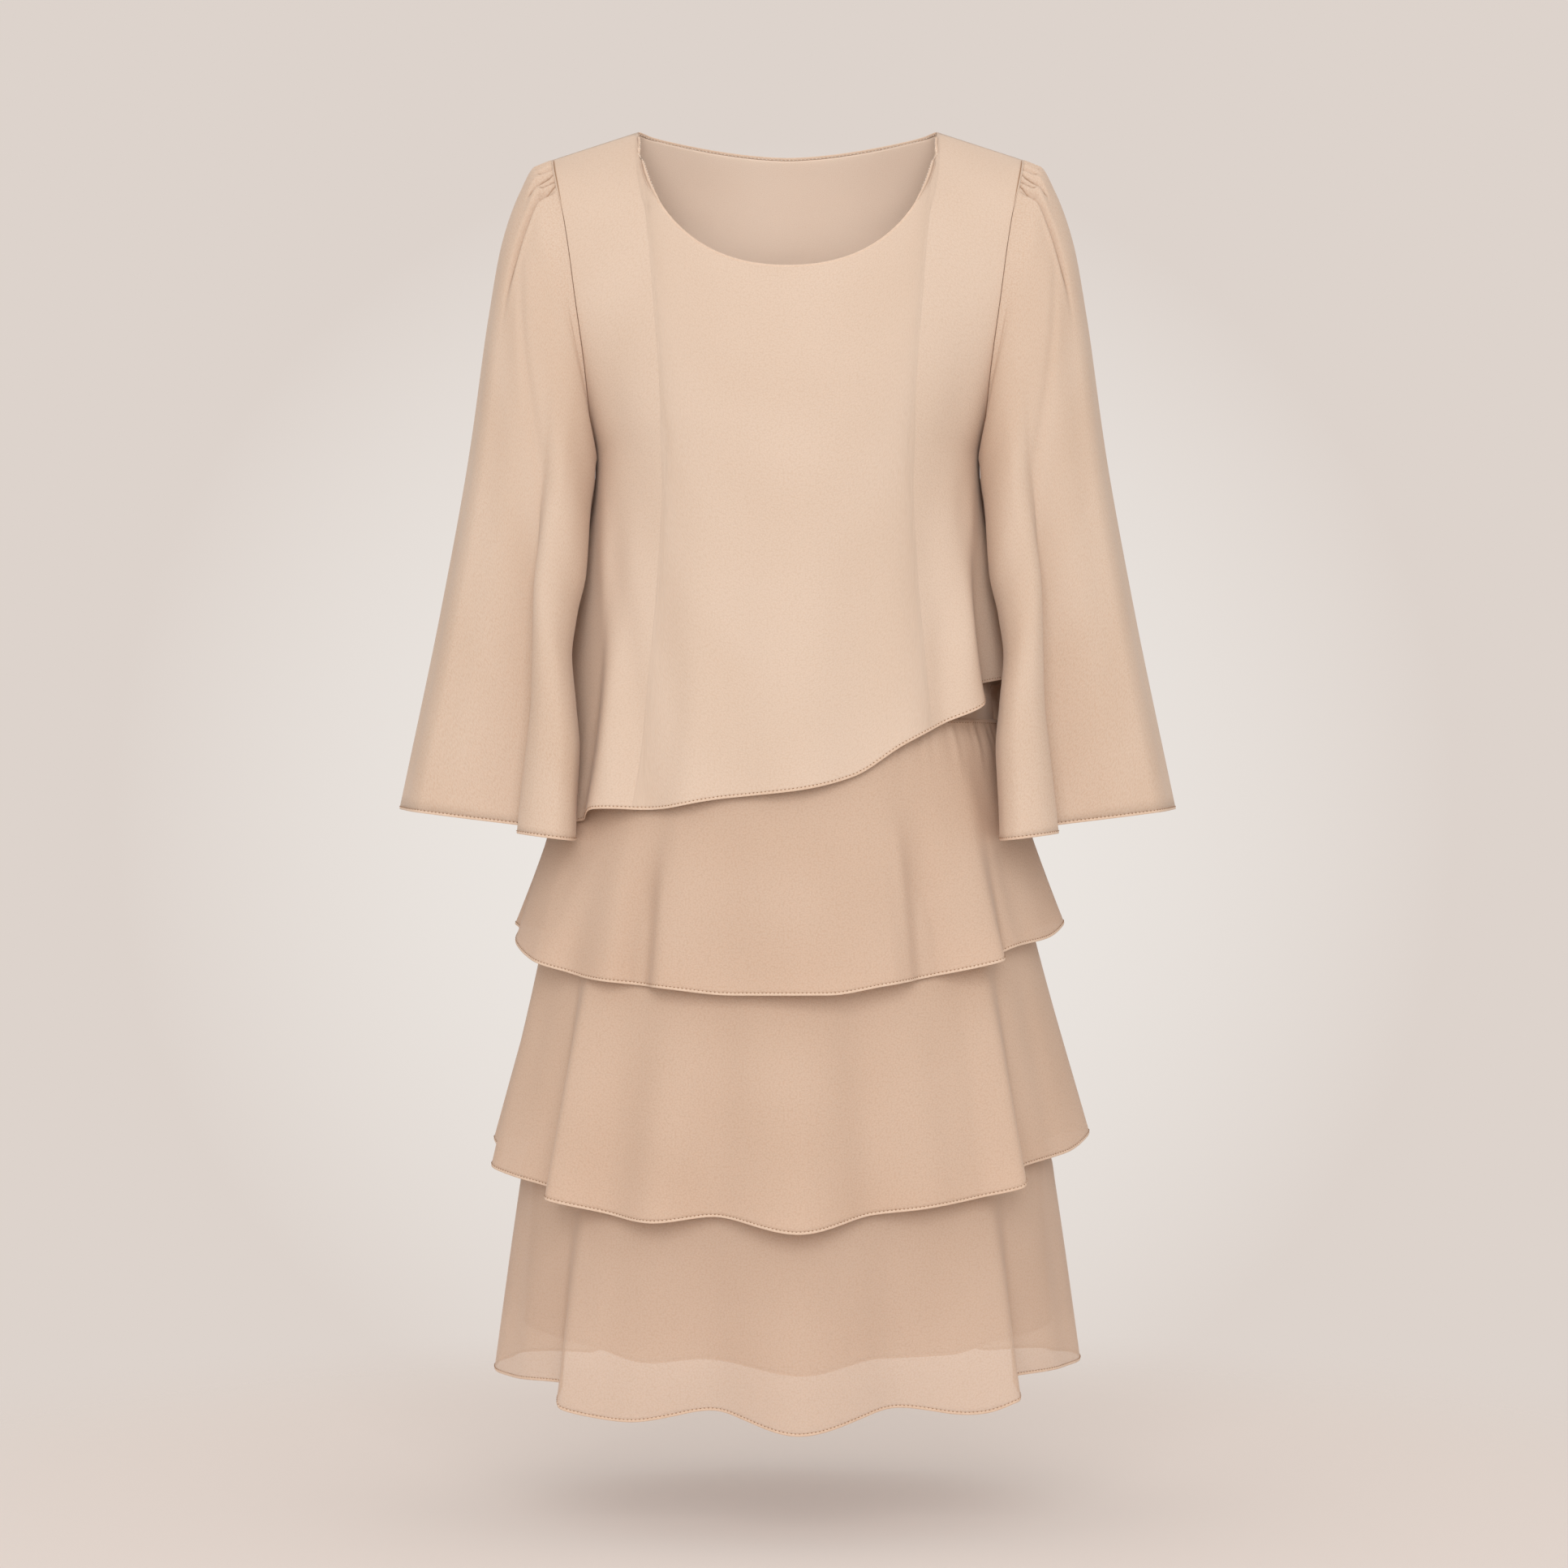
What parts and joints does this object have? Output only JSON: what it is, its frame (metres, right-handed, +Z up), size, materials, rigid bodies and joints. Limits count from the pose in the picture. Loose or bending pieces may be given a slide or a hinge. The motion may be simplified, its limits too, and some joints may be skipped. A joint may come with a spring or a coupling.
{
  "type": "ruffle dress",
  "caption": "Knee-length pull-on chiffon dress with a round neck, long flared sleeves, a loose bodice with a slanted hem, and gathered tiers over a lining slip.",
  "frame": {"origin": "midway between the two shoulder seams, at their middle height, where a wearer or a hanger holds the dress", "axes": "+Z up towards the neck; the front of the dress faces -Y; the wearer's left sleeve is at +X"},
  "size_m": [0.598, 0.3593, 0.9767],
  "materials": {
    "overlay_front_cloth": "matte crepe chiffon, champagne beige",
    "overlay_back_cloth": "matte crepe chiffon, champagne beige",
    "slip_front_cloth": "smooth woven lining, beige",
    "slip_back_cloth": "smooth woven lining, beige",
    "sleeve_right_cloth": "matte crepe chiffon, champagne beige",
    "sleeve_left_cloth": "matte crepe chiffon, champagne beige",
    "tier1_front_cloth": "matte crepe chiffon, champagne beige",
    "tier1_back_cloth": "matte crepe chiffon, champagne beige",
    "tier2_front_cloth": "matte crepe chiffon, champagne beige",
    "tier2_back_cloth": "matte crepe chiffon, champagne beige",
    "tier3_front_cloth": "matte crepe chiffon, champagne beige",
    "tier3_back_cloth": "matte crepe chiffon, champagne beige"
  },
  "bodies": {
    "root": {"overlay_front": "overlay_front_cloth", "overlay_back": "overlay_back_cloth", "slip_front": "slip_front_cloth", "slip_back": "slip_back_cloth", "sleeve_right": "sleeve_right_cloth", "sleeve_left": "sleeve_left_cloth", "tier1_front": "tier1_front_cloth", "tier1_back": "tier1_back_cloth", "tier2_front": "tier2_front_cloth", "tier2_back": "tier2_back_cloth", "tier3_front": "tier3_front_cloth", "tier3_back": "tier3_back_cloth"}
  },
  "joints": []
}
